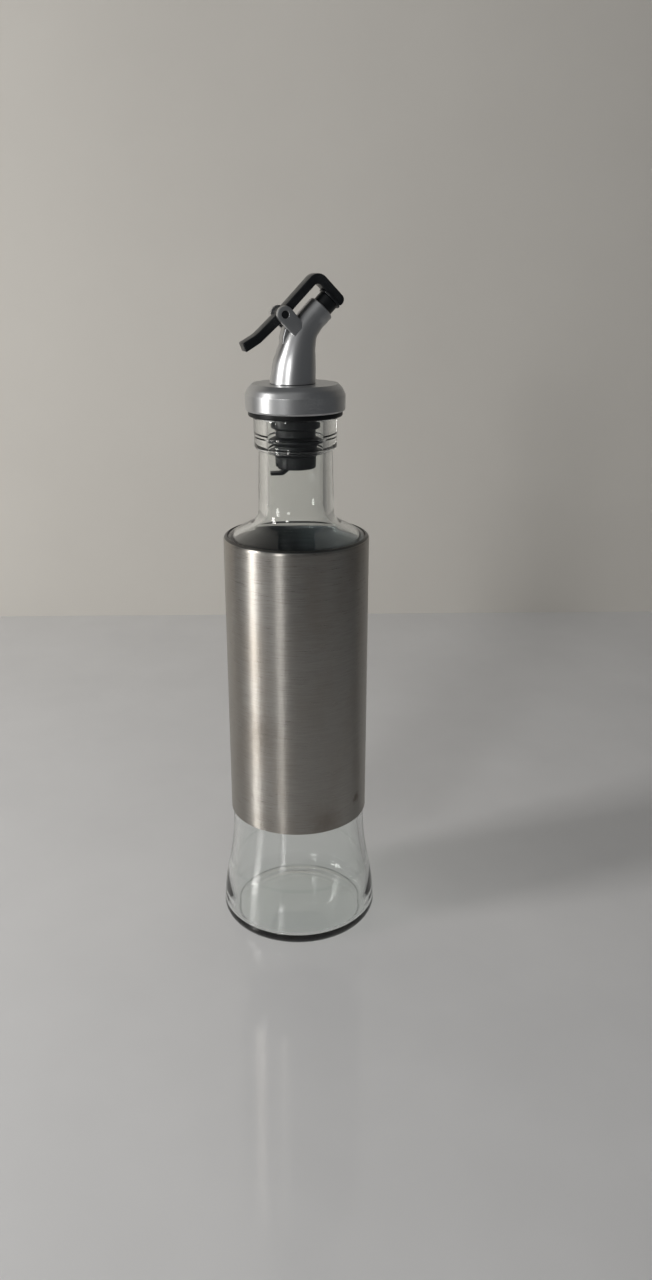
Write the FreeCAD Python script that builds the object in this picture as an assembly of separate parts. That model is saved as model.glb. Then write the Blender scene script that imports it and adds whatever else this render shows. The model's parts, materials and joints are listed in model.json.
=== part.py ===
import FreeCAD, Part
import os
from math import radians, sin, cos, tan, atan2, hypot

V = FreeCAD.Vector
os.makedirs("parts", exist_ok=True)

# Oil dispenser bottle: a clear glass bottle in a thin steel sleeve, closed by a ribbed rubber
# stopper that carries a bent silver spout with a flip lever. Millimetres, +Z up, origin on the
# table under the bottle's axis, spout heading +X.

PAST = 6.0                 # how far cutting shapes run past what they cut

# glass bottle
BODY_R = 30.7              # outer radius inside the sleeve
GLASS_T = 2.8              # wall thickness of the body
FLARE_TOP_Z = 52.0         # where the body starts to widen to the foot
FLARE_DEG = 12.5           # steepest lean of the flare
FLARE_R = 115.5            # radius of the flare's hollow upper part
FOOT_DEG = 4.5             # lean of the foot's side
FOOT_SIDE_R = 145.0        # radius of the flare's rounded lower part
FOOT_SPREAD = 6.05         # foot's side line at the table, beyond the body
HEEL_R = 5.4
HEEL_IN_R = 3.0            # inner corner of floor and foot
REST_IN = 7.25             # inner edge of the standing ring, in from the foot's side line
REST_EDGE_R = 1.0
PUSH_UP = 3.2              # height of the hollow under the bottom
PUSH_UP_R = 16.0           # its flat middle, before rounding
PUSH_UP_BEND = 40.0        # rounding round that middle
FLOOR_T = 3.0              # glass over the push-up
FLOOR_EDGE_T = 3.2         # glass at the floor's edge
FOOT_EXTRA_T = 0.6         # glass added to the wall low in the foot
FLARE_EXTRA_T = 0.2        # and where the flare meets it
FLARE_IN_R = 60.0          # inner rounding there
SHOULDER_Z = 186.1         # corner of body and shoulder, before rounding
SHOULDER_DEG = 29.0
SHOULDER_CORNER_R = 3.0
NECK_H = 51.3              # shoulder corner to the top of the glass
NECK_BASE_R = 16.3
NECK_TOP_R = 15.6
NECK_FILLET_R = 6.0
NECK_IN_R = 13.0           # inner rounding at the foot of the neck
SHOULDER_IN_R = 4.0        # inner rounding of body and shoulder
SHOULDER_EXTRA_T = 0.1     # glass added to the wall of the shoulder
BORE_R = 11.7
FINISH_H = 13.2            # height of the thickened mouth
BEAD_H = 4.9               # its lower part
BEAD_R = 17.35
BEAD_RISE = 0.6            # neck's swelling under the bead
BEAD_GROOVE = 0.35         # depth of the line between bead and mouth
FINISH_R = 17.6
FINISH_DRAFT = 0.15        # mouth's side leans in to its foot
BEAD_FOOT_R, BEAD_CORNER_R = 0.8, 1.2
MOUTH_OUT_R, MOUTH_IN_R = 1.0, 0.8
MOUTH_Z = SHOULDER_Z + NECK_H
FINISH_Z = MOUTH_Z - FINISH_H
BEAD_TOP_Z = FINISH_Z + BEAD_H
FLOOR_IN_Z = PUSH_UP + FLOOR_T
FOOT_FLOOR_R = BODY_R + FOOT_SPREAD
REST_IN_R = FOOT_FLOOR_R - REST_IN

# steel sleeve
SLEEVE_GAP = 0.3           # glass to sleeve, all round
SLEEVE_T = 0.5
SLEEVE_LIFT = 4.5          # sleeve's lower edge above the top of the flare
SLEEVE_OVER = 0.85         # sleeve's top above the shoulder corner
SLEEVE_ROLL_R = 1.7        # outer radius of the rolled top edge
LIP_W = 1.45               # width of the rolled lip
LIP_EDGE_R = 0.2
SLEEVE_R = BODY_R + SLEEVE_GAP + SLEEVE_T
SLEEVE_BOTTOM_Z = FLARE_TOP_Z + SLEEVE_LIFT
SLEEVE_TOP_Z = SHOULDER_Z + SLEEVE_OVER
LIP_IN_R = SLEEVE_R - LIP_W

# rubber stopper
GASKET_R = 19.7
GASKET_T = 2.2
RIB_FIT = 0.02             # sealing ribs to the bore
PLUG_GAP = 1.35            # plug's top to the bore
WAIST_GAP = 3.3            # waist to the bore
TAIL_GAP = 3.0             # tail to the bore
RIB1_DROP, RIB2_DROP = 9.8, 14.0             # ribs below the mouth
TAIL_DROP = 21.5           # bottom of the stopper below the mouth
SPIGOT_R = 6.0             # rubber spigot that plugs into the spout's foot
SPIGOT_H = 10.4
PASSAGE_R = 1.8            # pouring passage
PASSAGE_TURN = 0.6         # upright run carried past the turn
RIB_TIP_R = 0.25
RIB1_HEIGHTS = (-1.9, -0.3, 0.5, 1.9)        # rib's foot, edges and head, from its middle
RIB2_HEIGHTS = (-2.4, -0.5, 0.2, 0.9)
RIB_CORE = 0.5             # core between the ribs, beyond the waist
TAIL_DRAFT, TAIL_END_R = 0.2, 0.8
WAIST_TOP_DROP, PLUG_FOOT_DROP = 5.2, 4.2    # step up to the plug, below the mouth
WAIST_END_R, WAIST_STEP_R, PLUG_STEP_R = 0.6, 0.3, 0.4
GASKET_UNDER_R, GASKET_TOP_R, SPIGOT_END_R = 0.7, 0.6, 0.5
NOTCH = (3.4, 5.0, 2.6)    # air outlet in the tail's lower edge
NOTCH_OUT, NOTCH_BELOW = 1.0, 0.4            # cut starts outside and under the tail
TONGUE_W = 4.0             # thin tongue that closes the outlet
TONGUE_GAP = 0.6           # tongue to the bore
TONGUE = ((-3.4, 0.9, 0.3), (-6.2, -1.5, 3.0), (-11.0, -1.3, 0.4),
          (-10.8, -2.5, 0.4), (-6.0, -2.8, 3.0), (-1.8, 0.3, 0.3))
PLUG_R, WAIST_R, TAIL_R = BORE_R - PLUG_GAP, BORE_R - WAIST_GAP, BORE_R - TAIL_GAP
RIB_R = BORE_R - RIB_FIT
RIB1_Z, RIB2_Z, TAIL_Z = MOUTH_Z - RIB1_DROP, MOUTH_Z - RIB2_DROP, MOUTH_Z - TAIL_DROP
COLLAR_Z = MOUTH_Z + GASKET_T
SPIGOT_TOP_Z = COLLAR_Z + SPIGOT_H

# silver spout
COLLAR_R = 20.8
COLLAR_WALL_H = 6.6
COLLAR_TOP_R = 17.7
COLLAR_H = 10.9
COLLAR_CROWN = 0.35        # bulge of the sloping shoulder
COLLAR_CROWN_R = 4.0
COLLAR_FOOT_IN, COLLAR_FOOT_UP = 0.5, 0.7    # slanting lower edge
COLLAR_RIM_R, COLLAR_TOP_EDGE_R = 0.3, 0.25
SPIGOT_FIT = 0.02
STEM_FOOT_X, STEM_FOOT_R = -1.22, 9.48
STEM_LOW_RISE, STEM_LOW_X, STEM_LOW_R = 5.5, -0.6, 9.1       # heights above the collar
STEM_MID_RISE, STEM_MID_X, STEM_MID_R = 9.9, -0.13, 8.55
STEM_TOP_X, STEM_TOP_R = 0.8, 7.65
STEM_SUNK = 1.0            # foot of the stem inside the collar
STEM_BEND_R = 6.2          # half way round the bend
BEND_X, BEND_RISE, BEND_R = 17.8, 14.5, 9.4  # inside bend of the stem
SPOUT_DEG = 45.0
SPOUT_R = 5.7
PIVOT_X, PIVOT_RISE = -5.46, 27.16           # hinge of the lever
SPOUT_DROP = 10.3          # spout axis below the hinge, square to the spout
SPOUT_END = 13.5           # end of the silver piece, along the spout from the hinge
EAR_R = 3.35
EAR_T = 2.0
EAR_SHORT = 1.4            # ears end this far above the spout's axis
EAR_EDGE = 0.42
EAR_FOOT_CUT = 2.4         # slanting corner at the ears' lower front
EAR_TAPER = 0.5            # front edge drawn in above it
EAR_TAPER_TOP, EAR_TAPER_R = -1.0, 5.0       # where that starts, and its rounding
EAR_ROOM = 0.6             # clear round the ears for the hub
EAR_FOOT_R = 0.6
WEB_SET_IN = 0.7           # web to the ears' inner faces
WEB_BACK_X = -5.9          # back of the web that joins the ears to the stem
WEB_FOOT_RISE = 7.5
WEB_EDGE_R = 1.1
WEB_GAP = 0.4              # web to the pressed tab
HUB_GAP = 0.6              # web to the hub
WEB_SUNK = 1.2             # web inside the spout's back
WEB_L = 12.0
WEB_FRONT = -2.0           # web's upper part ends this far along the spout
COLLAR_TOP_Z = COLLAR_Z + COLLAR_H
STEM_LOW_Z, STEM_MID_Z = COLLAR_TOP_Z + STEM_LOW_RISE, COLLAR_TOP_Z + STEM_MID_RISE
BEND_Z, PIVOT_Z = COLLAR_TOP_Z + BEND_RISE, COLLAR_TOP_Z + PIVOT_RISE
WEB_FOOT_Z = COLLAR_TOP_Z + WEB_FOOT_RISE
EAR_OUT_Y = SPOUT_R        # the ears stand flush with the spout's sides
EAR_IN_Y = EAR_OUT_Y - EAR_T
EAR_FOOT = EAR_SHORT - SPOUT_DROP
WEB_HALF_Y = EAR_IN_Y - WEB_SET_IN

# nozzle
NOZZLE_R = 4.45
NOZZLE_SHANK_R = 3.6
NOZZLE_SHANK = 8.0
NOZZLE_OUT = 4.1           # how far it stands out of the silver piece
SHANK_FIT = 0.02
SHANK_IN_HEAD = 0.5
LIP_FLARE, LIP_DEPTH = 0.8, 1.2              # flared mouth of the nozzle
NOZZLE_END = SPOUT_END + NOZZLE_OUT

# lever, one thickness all along, swinging between the ears
LEVER_GAP = 0.3            # lever to ears, each side
LEVER_TOP, LEVER_BOTTOM = 1.95, -1.55        # along the arm, square to the spout
HUB_R = 2.7
PIN_R = 1.5
PIN_FIT = 0.05
PIN_IN = 0.2               # pin's ends inside the ears' outer faces
HOOK_T = 3.75              # front plate
HOOK_PAST = 4.55           # front plate's lower end beyond the spout's axis
HOOK_CORNER_R = 4.6
HOOK_INNER_R = 1.8
HOOK_TOE_R, HOOK_HEEL_R = 2.4, 0.8           # lower end of the front plate, outside and inside
CAP_R = 5.2
CAP_T = 1.05
CAP_GAP = 0.15             # closed cap to nozzle
TAB_END = -20.6
TAB_RISE = 2.55            # how far the tab's end curls away from the arm's line
TAB_BEND = -13.5           # where it starts to curl
TAB_HALF_RISE = 0.75       # and its rise there
TAB_SLANT = 0.75           # end face leans this far each way
TAB_EDGE_R = 0.5
TAB_CURL_R = 14.0
ARM_EASE_R = 30.0          # slight bend between arm and tab
ARM_BEND = 3.0             # arm starts this far before and behind the hinge
TAB_BEND_BACK = 1.0        # curl starts this much later underneath
CAP_SUNK = 1.0             # cap's foot inside the front plate
OPEN_DEG = 30.0
LEVER_HALF_Y = EAR_IN_Y - LEVER_GAP
PIN_OUT_Y = EAR_OUT_Y - PIN_IN
HOOK_IN = NOZZLE_END + CAP_GAP + CAP_T
HOOK_OUT = HOOK_IN + HOOK_T
HOOK_FOOT = -SPOUT_DROP - HOOK_PAST


def corner_arc(a, b, c, r):
    """Start, middle and end of an arc of radius r that rounds the corner b between a and c."""
    ux, uy = a[0] - b[0], a[1] - b[1]
    wx, wy = c[0] - b[0], c[1] - b[1]
    lu, lw = hypot(ux, uy), hypot(wx, wy)
    ux, uy, wx, wy = ux / lu, uy / lu, wx / lw, wy / lw
    half = abs(atan2(ux * wy - uy * wx, ux * wx + uy * wy)) / 2
    run = r / tan(half)
    mx, my = ux + wx, uy + wy
    lm = hypot(mx, my)
    reach = r / sin(half) - r
    return ((b[0] + ux * run, b[1] + uy * run),
            (b[0] + mx / lm * reach, b[1] + my / lm * reach),
            (b[0] + wx * run, b[1] + wy * run))


def rounded_face(corners, place):
    """Closed face through corners (p, q, radius); place turns (p, q) into a point in space."""
    n = len(corners)
    pieces = []
    for i in range(n):
        a, b, c = corners[i - 1], corners[i], corners[(i + 1) % n]
        pieces.append(corner_arc(a, b, c, b[2]) if b[2] > 0 else (b[:2],))
    edges = []
    for i in range(n):
        p = pieces[i]
        if len(p) == 3:
            edges.append(Part.Arc(place(*p[0]), place(*p[1]), place(*p[2])).toShape())
        start, end = place(*p[-1]), place(*pieces[(i + 1) % n][0])
        if start.distanceToPoint(end) > 1e-6:
            edges.append(Part.makeLine(start, end))
    return Part.Face(Part.Wire(edges))


def turned(corners):
    """Solid of revolution about Z from corners (radius, height, rounding)."""
    face = rounded_face(corners, lambda p, q: V(p, 0, q))
    return face.revolve(V(0, 0, 0), V(0, 0, 1), 360)


def along(u, v, y=0.0):
    """Point given along the spout (u) and square to it (v) from the hinge."""
    c, s = cos(radians(SPOUT_DEG)), sin(radians(SPOUT_DEG))
    return V(PIVOT_X + u * c - v * s, y, PIVOT_Z + u * s + v * c)


def spout_dir():
    return V(cos(radians(SPOUT_DEG)), 0, sin(radians(SPOUT_DEG)))


def side_plate(corners, y0, y1):
    """Plate between y0 and y1 with a side outline given along and square to the spout."""
    face = rounded_face(corners, lambda u, v: along(u, v, y0))
    return face.extrude(V(0, y1 - y0, 0))


def rod(start, direction, length, r):
    return Part.makeCylinder(r, length, start, direction)


def across_pivot(r, half_y):
    return Part.makeCylinder(r, 2 * half_y, V(PIVOT_X, -half_y, PIVOT_Z), V(0, 1, 0))


def shoulder_line(r):
    return SHOULDER_Z + (BODY_R - r) * tan(radians(SHOULDER_DEG))


def glass_bottle():
    lean, foot = radians(FLARE_DEG), radians(FOOT_DEG)
    bend_z = FLARE_TOP_Z - FLARE_R * tan(lean / 2)
    # the flare's line meets the foot's side line where both give the same radius
    side_z = (FOOT_FLOOR_R - BODY_R - bend_z * tan(lean)) / (tan(foot) - tan(lean))
    side_r = BODY_R + (bend_z - side_z) * tan(lean)
    in_r = BODY_R - GLASS_T
    drop = GLASS_T / cos(radians(SHOULDER_DEG)) + SHOULDER_EXTRA_T
    in_foot_r = FOOT_FLOOR_R - GLASS_T - FOOT_EXTRA_T - FLOOR_EDGE_T * tan(foot)
    return turned([
        (0, PUSH_UP, 0),
        (PUSH_UP_R, PUSH_UP, PUSH_UP_BEND),
        (REST_IN_R, 0, REST_EDGE_R),
        (FOOT_FLOOR_R, 0, HEEL_R),
        (side_r, side_z, FOOT_SIDE_R),
        (BODY_R, bend_z, FLARE_R),
        (BODY_R, SHOULDER_Z, SHOULDER_CORNER_R),
        (NECK_BASE_R, shoulder_line(NECK_BASE_R), NECK_FILLET_R),
        (NECK_TOP_R, FINISH_Z - BEAD_RISE, BEAD_FOOT_R),
        (BEAD_R, FINISH_Z, BEAD_CORNER_R),
        (BEAD_R, BEAD_TOP_Z - BEAD_GROOVE, 0),
        (BEAD_R - BEAD_GROOVE, BEAD_TOP_Z, 0),
        (FINISH_R - FINISH_DRAFT, BEAD_TOP_Z + BEAD_GROOVE, 0),
        (FINISH_R, MOUTH_Z, MOUTH_OUT_R),
        (BORE_R, MOUTH_Z, MOUTH_IN_R),
        (BORE_R, shoulder_line(BORE_R) - drop, NECK_IN_R),
        (in_r, shoulder_line(in_r) - drop, SHOULDER_IN_R),
        (in_r, bend_z, FLARE_R + GLASS_T),
        (side_r - GLASS_T - FLARE_EXTRA_T, side_z, FLARE_IN_R),
        (in_foot_r, FLOOR_EDGE_T, HEEL_IN_R),
        (PUSH_UP_R, FLOOR_IN_Z, PUSH_UP_BEND),
        (0, FLOOR_IN_Z, 0),
    ])


def steel_sleeve():
    t = SLEEVE_T
    return turned([
        (SLEEVE_R - t, SLEEVE_BOTTOM_Z, 0),
        (SLEEVE_R, SLEEVE_BOTTOM_Z, 0),
        (SLEEVE_R, SLEEVE_TOP_Z, SLEEVE_ROLL_R),
        (LIP_IN_R, SLEEVE_TOP_Z, LIP_EDGE_R),
        (LIP_IN_R, SLEEVE_TOP_Z - t, 0),
        (SLEEVE_R - t, SLEEVE_TOP_Z - t, SLEEVE_ROLL_R - t),
    ])


def stopper():
    foot1, low1, high1, head1 = (RIB1_Z + h for h in RIB1_HEIGHTS)
    foot2, low2, high2, head2 = (RIB2_Z + h for h in RIB2_HEIGHTS)
    core_r = WAIST_R + RIB_CORE
    body = turned([
        (0, TAIL_Z, 0),
        (TAIL_R - TAIL_DRAFT, TAIL_Z, TAIL_END_R),
        (TAIL_R, foot2, 0),
        (RIB_R, low2, RIB_TIP_R),
        (RIB_R, high2, RIB_TIP_R),
        (core_r, head2, 0),
        (core_r, foot1, 0),
        (RIB_R, low1, RIB_TIP_R),
        (RIB_R, high1, RIB_TIP_R),
        (WAIST_R, head1, WAIST_END_R),
        (WAIST_R, MOUTH_Z - WAIST_TOP_DROP, WAIST_STEP_R),
        (PLUG_R, MOUTH_Z - PLUG_FOOT_DROP, PLUG_STEP_R),
        (PLUG_R, MOUTH_Z, 0),
        (GASKET_R, MOUTH_Z, GASKET_UNDER_R),
        (GASKET_R, COLLAR_Z, GASKET_TOP_R),
        (SPIGOT_R, COLLAR_Z, 0),
        (SPIGOT_R, SPIGOT_TOP_Z, SPIGOT_END_R),
        (0, SPIGOT_TOP_Z, 0),
    ])
    # air outlet in the lower edge, on the back, with the thin tongue that closes it
    notch = Part.makeBox(*NOTCH, V(-TAIL_R - NOTCH_OUT, -NOTCH[1] / 2, TAIL_Z - NOTCH_BELOW))
    tongue = rounded_face(TONGUE, lambda p, q: V(p, -TONGUE_W / 2, TAIL_Z + q))
    tongue = tongue.extrude(V(0, TONGUE_W, 0))
    below = V(0, 0, TAIL_Z - PAST)
    tongue = tongue.common(Part.makeCylinder(BORE_R - TONGUE_GAP, 2 * PAST, below))
    passage = rod(below, V(0, 0, 1), SPIGOT_TOP_Z - TAIL_Z + 2 * PAST, PASSAGE_R)
    return body.cut(notch).fuse(tongue).cut(passage).removeSplitter()


def stem_section(x, z, r, lean_deg):
    """Circle square to the stem; every section starts at the same side, so the skin stays straight."""
    ring = Part.makeCircle(r)
    ring.rotate(V(0, 0, 0), V(0, 1, 0), lean_deg)
    ring.translate(V(x, 0, z))
    return Part.Wire(ring)


def bent_stem():
    half = SPOUT_DEG / 2
    reach = BEND_R + STEM_BEND_R
    sections = [
        stem_section(STEM_FOOT_X, COLLAR_TOP_Z - STEM_SUNK, STEM_FOOT_R, 0),
        stem_section(STEM_LOW_X, STEM_LOW_Z, STEM_LOW_R, 0),
        stem_section(STEM_MID_X, STEM_MID_Z, STEM_MID_R, 0),
        stem_section(STEM_TOP_X, BEND_Z, STEM_TOP_R, 0),
        stem_section(BEND_X - reach * cos(radians(half)), BEND_Z + reach * sin(radians(half)),
                     STEM_BEND_R, half),
    ]
    straight_from = ((BEND_X - PIVOT_X) * cos(radians(SPOUT_DEG))
                     + (BEND_Z - PIVOT_Z) * sin(radians(SPOUT_DEG)))
    for u in (straight_from, (straight_from + SPOUT_END) / 2, SPOUT_END):
        c = along(u, -SPOUT_DROP)
        sections.append(stem_section(c.x, c.z, SPOUT_R, SPOUT_DEG))
    return Part.makeLoft(sections, True, False)


def collar():
    mid_r = (COLLAR_R + COLLAR_TOP_R) / 2 + COLLAR_CROWN
    mid_z = (COLLAR_Z + COLLAR_WALL_H + COLLAR_TOP_Z) / 2 + COLLAR_CROWN
    return turned([
        (0, COLLAR_Z, 0),
        (COLLAR_R - COLLAR_FOOT_IN, COLLAR_Z, 0),
        (COLLAR_R, COLLAR_Z + COLLAR_FOOT_UP, 0),
        (COLLAR_R, COLLAR_Z + COLLAR_WALL_H, COLLAR_RIM_R),
        (mid_r, mid_z, COLLAR_CROWN_R),
        (COLLAR_TOP_R, COLLAR_TOP_Z, COLLAR_TOP_EDGE_R),
        (0, COLLAR_TOP_Z, 0),
    ])


def ear(side):
    y0, y1 = sorted((side * EAR_IN_Y, side * EAR_OUT_Y))
    top_r = EAR_R - 0.01       # a hair under half the width, so the top keeps a short flat
    plate = side_plate([
        (EAR_R, EAR_R, top_r), (-EAR_R, EAR_R, top_r),
        (-EAR_R, EAR_FOOT, EAR_FOOT_R), (EAR_R - EAR_FOOT_CUT, EAR_FOOT, EAR_FOOT_R),
        (EAR_R - EAR_TAPER, EAR_FOOT + EAR_FOOT_CUT, EAR_FOOT_R), (EAR_R, EAR_TAPER_TOP, EAR_TAPER_R),
    ], y0, y1)
    outer = [e for e in plate.Edges
             if all(abs(v.Point.y - side * EAR_OUT_Y) < 1e-6 for v in e.Vertexes)]
    return plate.makeChamfer(EAR_EDGE, outer)


def web():
    """Upright web between the ears, cut back under the tab's underside when it is pressed down."""
    block = Part.makeBox(WEB_L, 2 * WEB_HALF_Y, PIVOT_Z - WEB_FOOT_Z,
                         V(WEB_BACK_X, -WEB_HALF_Y, WEB_FOOT_Z))
    back = [e for e in block.Edges
            if all(abs(v.Point.x - WEB_BACK_X) < 1e-6 for v in e.Vertexes)
            and abs(e.Vertexes[0].Point.z - e.Vertexes[-1].Point.z) > 1]
    block = block.makeFillet(WEB_EDGE_R, back)
    far, side_y = 5 * PAST, EAR_OUT_Y + PAST
    # the pressed tab's underside, seen as a half plane turned about the hinge
    tab_z = LEVER_BOTTOM - WEB_GAP
    over = side_plate([(-far, tab_z, 0), (WEB_L, tab_z, 0), (WEB_L, far, 0), (-far, far, 0)],
                      -side_y, side_y)
    over.rotate(V(PIVOT_X, 0, PIVOT_Z), V(0, -1, 0), OPEN_DEG)
    spout_back = -SPOUT_DROP + SPOUT_R - WEB_SUNK
    under_arm = side_plate([(WEB_FRONT, spout_back, 0), (far, spout_back, 0), (far, far, 0),
                            (WEB_FRONT, far, 0)], -side_y, side_y)
    return block.cut(over).cut(across_pivot(HUB_R + HUB_GAP, side_y)).cut(under_arm)


def pourer_spout():
    body = collar().fuse(bent_stem())
    for piece in (ear(-1), ear(1), web()):
        body = body.fuse(piece)
    up = V(0, 0, 1)
    # the passage turns where the spout's axis crosses the bottle's
    turn_u = -PIVOT_X / cos(radians(SPOUT_DEG)) - SPOUT_DROP * tan(radians(SPOUT_DEG))
    turn = along(turn_u, -SPOUT_DROP)
    under = V(0, 0, COLLAR_Z - PAST)
    holes = [
        across_pivot(PIN_R + PIN_FIT, EAR_OUT_Y + PAST),
        rod(under, up, SPIGOT_TOP_Z + SPIGOT_FIT - under.z, SPIGOT_R + SPIGOT_FIT),
        rod(under, up, turn.z + PASSAGE_TURN - under.z, PASSAGE_R),
        rod(turn, spout_dir(), SPOUT_END - turn_u + PAST, PASSAGE_R),
        rod(along(SPOUT_END - NOZZLE_SHANK, -SPOUT_DROP), spout_dir(), NOZZLE_SHANK + PAST,
            NOZZLE_SHANK_R + SHANK_FIT),
    ]
    for hole in holes:
        body = body.cut(hole)
    # room between the ears for the hub
    return body.cut(across_pivot(EAR_R + EAR_ROOM, EAR_IN_Y))


def nozzle():
    shank = rod(along(SPOUT_END - NOZZLE_SHANK, -SPOUT_DROP), spout_dir(),
                NOZZLE_SHANK + SHANK_IN_HEAD, NOZZLE_SHANK_R)
    head = rod(along(SPOUT_END, -SPOUT_DROP), spout_dir(), NOZZLE_OUT, NOZZLE_R)
    lip = Part.makeCone(PASSAGE_R, PASSAGE_R + LIP_FLARE, LIP_DEPTH,
                        along(NOZZLE_END - LIP_DEPTH, -SPOUT_DROP), spout_dir())
    hole = rod(along(0, -SPOUT_DROP), spout_dir(), NOZZLE_END + PAST, PASSAGE_R)
    return shank.fuse(head).cut(hole).cut(lip)


def lever_outline():
    """Side outline: thumb tab on the left, hub, arm and the front plate that holds the cap."""
    return [
        (HOOK_OUT, LEVER_TOP, HOOK_CORNER_R),
        (ARM_BEND, LEVER_TOP, ARM_EASE_R),
        (TAB_BEND, LEVER_TOP + TAB_HALF_RISE, TAB_CURL_R),
        (TAB_END + TAB_SLANT, LEVER_TOP + TAB_RISE, TAB_EDGE_R),
        (TAB_END - TAB_SLANT, LEVER_BOTTOM + TAB_RISE, TAB_EDGE_R),
        (TAB_BEND - TAB_BEND_BACK, LEVER_BOTTOM + TAB_HALF_RISE, TAB_CURL_R),
        (-ARM_BEND, LEVER_BOTTOM, ARM_EASE_R),
        (HOOK_IN, LEVER_BOTTOM, HOOK_INNER_R),
        (HOOK_IN, HOOK_FOOT, HOOK_HEEL_R),
        (HOOK_OUT, HOOK_FOOT, HOOK_TOE_R),
    ]


def lever():
    plate = side_plate(lever_outline(), -LEVER_HALF_Y, LEVER_HALF_Y)
    cap = rod(along(NOZZLE_END + CAP_GAP, -SPOUT_DROP), spout_dir(), CAP_T + CAP_SUNK, CAP_R)
    hub, pin = across_pivot(HUB_R, LEVER_HALF_Y), across_pivot(PIN_R, PIN_OUT_Y)
    return plate.fuse(hub).fuse(pin).fuse(cap).removeSplitter()


PARTS = {
    "glass_bottle": glass_bottle,
    "steel_sleeve": steel_sleeve,
    "rubber_stopper": stopper,
    "pourer_spout": pourer_spout,
    "spout_nozzle": nozzle,
    "flip_lever": lever,
}

for name, make in PARTS.items():
    shape = make()
    solids = shape.Solids
    print(name, "solids", len(solids), "valid", shape.isValid(), "volume", round(shape.Volume, 1))
    shape = solids[0] if len(solids) == 1 else Part.makeCompound(solids)
    shape.exportStep("parts/" + name + ".step")
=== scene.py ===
import json
from math import acos, atan2, ceil, cos, hypot, pi, radians, sin, sqrt, tan

import bmesh
import bpy
from mathutils import Matrix, Vector


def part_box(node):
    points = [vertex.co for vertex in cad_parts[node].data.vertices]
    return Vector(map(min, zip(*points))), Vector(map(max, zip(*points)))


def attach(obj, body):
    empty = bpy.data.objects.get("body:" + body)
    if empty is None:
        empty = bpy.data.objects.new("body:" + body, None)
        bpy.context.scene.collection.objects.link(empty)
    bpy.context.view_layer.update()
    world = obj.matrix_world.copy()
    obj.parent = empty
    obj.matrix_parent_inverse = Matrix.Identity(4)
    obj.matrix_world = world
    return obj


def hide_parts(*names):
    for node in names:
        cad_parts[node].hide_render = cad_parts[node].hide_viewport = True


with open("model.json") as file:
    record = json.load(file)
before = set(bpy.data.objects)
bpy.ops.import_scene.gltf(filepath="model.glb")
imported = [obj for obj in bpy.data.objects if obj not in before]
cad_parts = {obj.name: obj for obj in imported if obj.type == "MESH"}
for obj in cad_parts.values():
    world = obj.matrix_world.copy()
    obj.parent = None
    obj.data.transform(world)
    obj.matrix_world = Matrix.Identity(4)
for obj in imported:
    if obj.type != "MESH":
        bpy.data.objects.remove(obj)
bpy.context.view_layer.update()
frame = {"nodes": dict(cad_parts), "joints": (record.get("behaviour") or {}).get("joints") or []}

# Oil dispenser bottle. Outlines are given in millimetres and scaled to metres when a mesh is made.
# The bottle stands on its foot, with its spout heading +X.
MM = 0.001
TURN_STEPS = 240                   # facets round a turned piece
BOTTLE_STEPS = 320                 # and round the bottle, two to a groove of its foot
STEM_STEPS = 120
SEAL_STEPS = 96
BAR_STEPS = 64
ARC_STEP = radians(7)              # facets along a rounded corner
ARC_CHORD = 1.6                    # and their greatest length
SHARP = radians(34)                # edges steeper than this stay crisp
GUARD = 0.12                       # from a rounded corner to the line that keeps the next stretch flat
GUARDED_FROM = 6                   # stretches longer than this many guards get them
SAME_PLACE = 1e-7                  # metres between vertices that count as one

# ------------------------------------------------------------------ sizes shared by the pieces


def top_of(node):
    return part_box(node)[1][2] / MM


def bottom_of(node):
    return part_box(node)[0][2] / MM


def radius_of(node):
    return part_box(node)[1][0] / MM


MOUTH_Z = top_of("glass_bottle")
COLLAR_Z = bottom_of("pourer_spout")
COLLAR_H = 10.9
COLLAR_TOP_Z = COLLAR_Z + COLLAR_H
COLLAR_R = radius_of("pourer_spout")
SLEEVE_BOTTOM_Z = bottom_of("steel_sleeve")
SLEEVE_TOP_Z = top_of("steel_sleeve")
SLEEVE_R = radius_of("steel_sleeve")
HINGE = [c / MM for c in frame["joints"][0]["pos_m"]]
SPOUT_LEAN = radians(45)
SPOUT_DROP = 10.3                  # spout's axis below the hinge, square to the spout
SPOUT_R = 5.7
SPOUT_END = 13.5                   # end of the silver piece, along the spout from the hinge
EAR_T = 2.0
EAR_IN_Y = SPOUT_R - EAR_T         # inner face of the ears
LEVER_HALF_Y = EAR_IN_Y - 0.3
LEVER_BOTTOM = -1.55               # underside of the lever's arm, from the hinge
LEVER_TRAVEL = radians(30)


def along(u, v, y=0.0):
    """Point given along the spout (u) and square to it (v) from the hinge."""
    c, s = cos(SPOUT_LEAN), sin(SPOUT_LEAN)
    return Vector((HINGE[0] + u * c - v * s, y, HINGE[2] + u * s + v * c))


# ------------------------------------------------------------------ stage, camera and lights

VIEW_HEADING = radians(-107.0)     # from the bottle's axis to the camera, seen from above
CAMERA_AWAY = 0.43295              # from the axis, along the table
CAMERA_UP = 0.29586
CAMERA_TURN = radians(1.71)        # aims this far to the right of the axis
CAMERA_DIP = radians(20.05)
CAMERA_TILT = radians(0.119)
CAMERA_LENS = 28.84
CAMERA_SENSOR = 36
CAMERA_NEAR, CAMERA_FAR = 0.01, 20
TABLE_FRONT, TABLE_BEHIND = 0.42, 0.446      # table's edges, in front of and behind the axis
TABLE_LEFT, TABLE_RIGHT = 0.7, 0.45
WALL_SIDE, WALL_UP, WALL_DOWN = 1.6, 1.5, 0.6
LAMPS_AIM = (0, 0, 0.12)

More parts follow.
